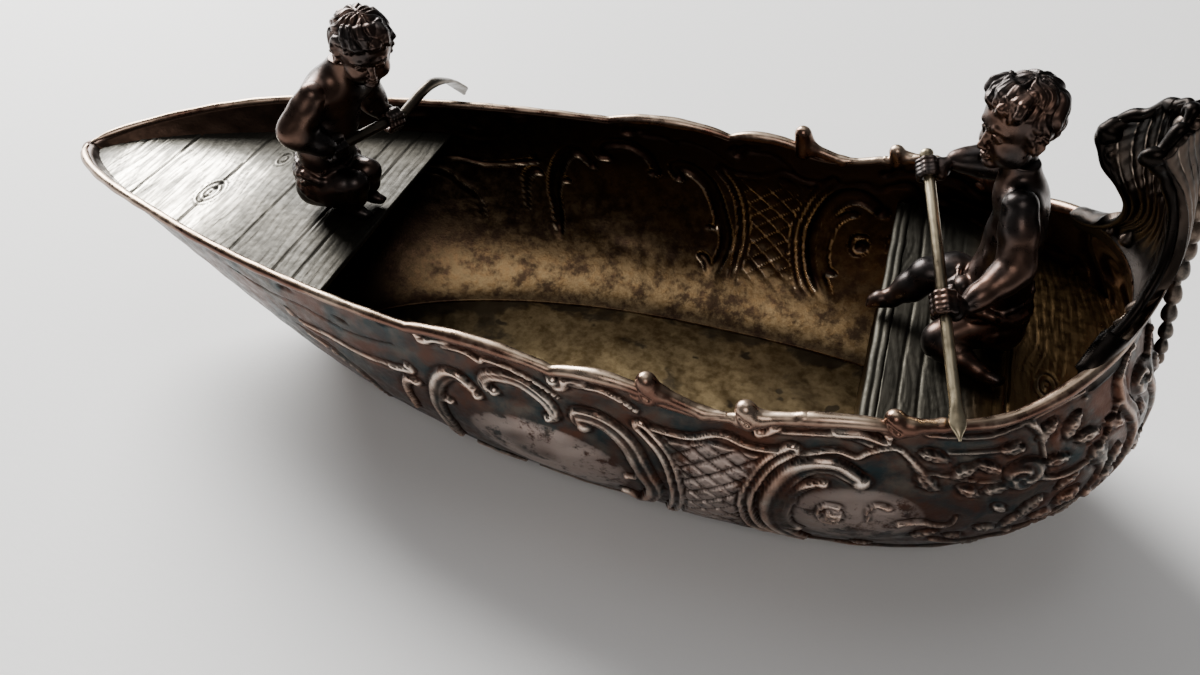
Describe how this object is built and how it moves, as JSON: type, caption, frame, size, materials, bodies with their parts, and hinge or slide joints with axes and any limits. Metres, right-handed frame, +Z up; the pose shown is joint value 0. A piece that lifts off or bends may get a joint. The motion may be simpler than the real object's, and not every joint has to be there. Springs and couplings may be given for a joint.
{
  "type": "silver sauce boat",
  "caption": "Boat-shaped silver sauce dish with embossed scrolls, two decks, a scrolled stern ornament and seated rowers holding oars.",
  "frame": {"origin": "middle of the flat bottom, on the table", "axes": "+Z up, +X towards the stern ornament, +Y starboard"},
  "size_m": [0.205, 0.0758, 0.0794],
  "materials": {
    "embossed_silver": "oxidised stamped silver, rubbed bright on the raised scrolls",
    "gilt_floor": "worn gilding over silver, blotched with dark tarnish",
    "rim_silver": "rubbed coppery silver wire",
    "deck_silver": "grey silver sheet chased with wood grain",
    "stern_silver": "dark oxidised cast silver",
    "figure_silver": "near black oxidised cast silver with warm highlights",
    "oar_silver": "silver wire rubbed bright",
    "fixing_brass": "plain brass"
  },
  "bodies": {
    "boat": {"hull_port": "embossed_silver", "hull_starboard": "embossed_silver", "base_plate": "gilt_floor", "rim_port": "rim_silver", "rim_starboard": "rim_silver", "foredeck": "deck_silver", "aft_deck": "deck_silver", "aft_nosing": "deck_silver", "aft_riser": "deck_silver", "stern_leaf": "stern_silver", "stern_scroll": "stern_silver", "stern_husks": "stern_silver", "bow_rower_body": "figure_silver", "bow_rower_head": "figure_silver", "bow_rower_left_arm": "figure_silver", "bow_rower_right_arm": "figure_silver", "bow_rower_left_fist": "figure_silver", "bow_rower_right_fist": "figure_silver", "stern_rower_body": "figure_silver", "stern_rower_head": "figure_silver", "stern_rower_left_arm": "figure_silver", "stern_rower_right_arm": "figure_silver", "stern_rower_left_fist": "figure_silver", "stern_rower_right_fist": "figure_silver", "bow_stud": "fixing_brass", "bow_washer": "fixing_brass", "bow_nut": "fixing_brass", "stern_stud": "fixing_brass", "stern_washer": "fixing_brass", "stern_nut": "fixing_brass"},
    "oar": {"bow_oar": "oar_silver"},
    "pole": {"stern_pole": "oar_silver"}
  },
  "joints": [
    {"name": "oar_turn", "type": "hinge", "parent": "boat", "child": "oar", "pos_m": [-0.0355, -0.011, 0.0489], "axis": [0.2749, 0.9579, -0.0833], "range_deg": [0, 60]},
    {"name": "pole_slide", "type": "slide", "parent": "boat", "child": "pole", "axis": [-0.2535, 0.8895, 0.3802], "range_m": [0, 0.012]}
  ]
}
